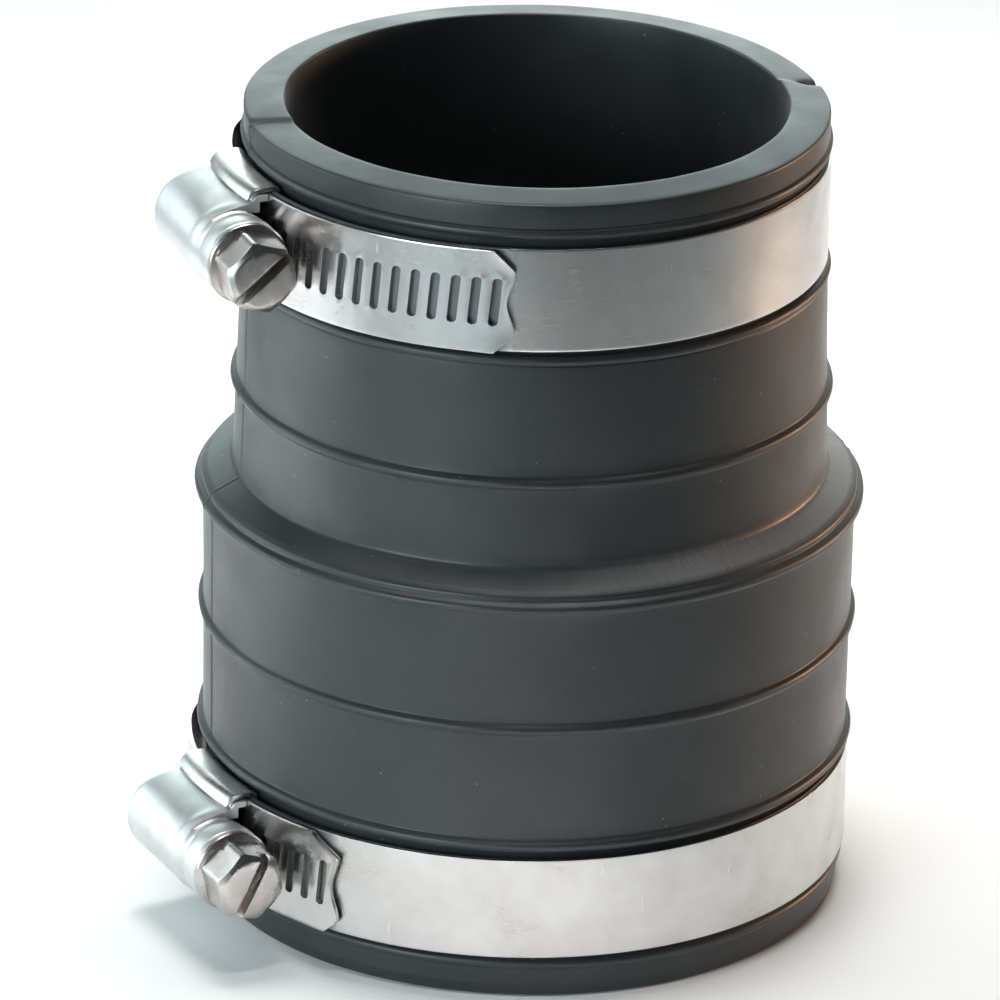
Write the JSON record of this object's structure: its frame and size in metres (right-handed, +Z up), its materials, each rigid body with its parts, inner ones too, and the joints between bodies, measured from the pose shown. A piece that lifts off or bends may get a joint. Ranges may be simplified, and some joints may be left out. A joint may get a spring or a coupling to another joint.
{
  "type": "pipe coupling",
  "caption": "Stepped flexible pipe coupling: moulded elastomer sleeve with two bores, closed at each end by a worm-drive band clamp with a slotted tail and hex screw.",
  "frame": {"origin": "centre of the lower, larger end face of the sleeve", "axes": "+Z up the bore towards the smaller end; the clamp housings are on the -X side, their screw heads towards -Y"},
  "size_m": [0.089, 0.0814, 0.1],
  "materials": {
    "sleeve_rubber": "satin moulded elastomer",
    "band_steel": "bright rolled stainless",
    "housing_steel": "satin pressed stainless",
    "saddle_steel": "bright pressed stainless",
    "screw_steel": "plated, lightly worn"
  },
  "bodies": {
    "sleeve": {"sleeve": "sleeve_rubber"},
    "upper_clamp": {"upper_saddle": "saddle_steel", "upper_housing": "housing_steel"},
    "upper_screw": {"upper_screw": "screw_steel"},
    "upper_band": {"upper_band": "band_steel"},
    "lower_clamp": {"lower_saddle": "saddle_steel", "lower_housing": "housing_steel"},
    "lower_screw": {"lower_screw": "screw_steel"},
    "lower_band": {"lower_band": "band_steel"}
  },
  "joints": [
    {"name": "upper_clamp_turn", "type": "hinge", "parent": "sleeve", "child": "upper_clamp", "pos_m": [0, 0, 0.08805], "axis": [0, 0, 1], "continuous": true},
    {"name": "upper_screw_turn", "type": "hinge", "parent": "upper_clamp", "child": "upper_screw", "pos_m": [-0.03776, -0.01526, 0.08805], "axis": [-0.3746, 0.9272, 0], "range_deg": [-990, 990]},
    {"name": "upper_band_feed", "type": "hinge", "parent": "upper_clamp", "child": "upper_band", "pos_m": [-0.00051, -0.00021, 0.08805], "axis": [0, 0, 1], "range_deg": [-10.85, 10.85]},
    {"name": "lower_clamp_turn", "type": "hinge", "parent": "sleeve", "child": "lower_clamp", "pos_m": [0, 0, 0.01215], "axis": [0, 0, 1], "continuous": true},
    {"name": "lower_screw_turn", "type": "hinge", "parent": "lower_clamp", "child": "lower_screw", "pos_m": [-0.03994, -0.02123, 0.01215], "axis": [-0.4695, 0.8829, 0], "range_deg": [-990, 990]},
    {"name": "lower_band_feed", "type": "hinge", "parent": "lower_clamp", "child": "lower_band", "pos_m": [-0.00049, -0.00026, 0.01215], "axis": [0, 0, 1], "range_deg": [-9.67, 9.67]}
  ],
  "couplings": [
    {"joint": "upper_band_feed", "follows": "upper_screw_turn", "ratio": 0.010756},
    {"joint": "lower_band_feed", "follows": "lower_screw_turn", "ratio": 0.0095675}
  ]
}
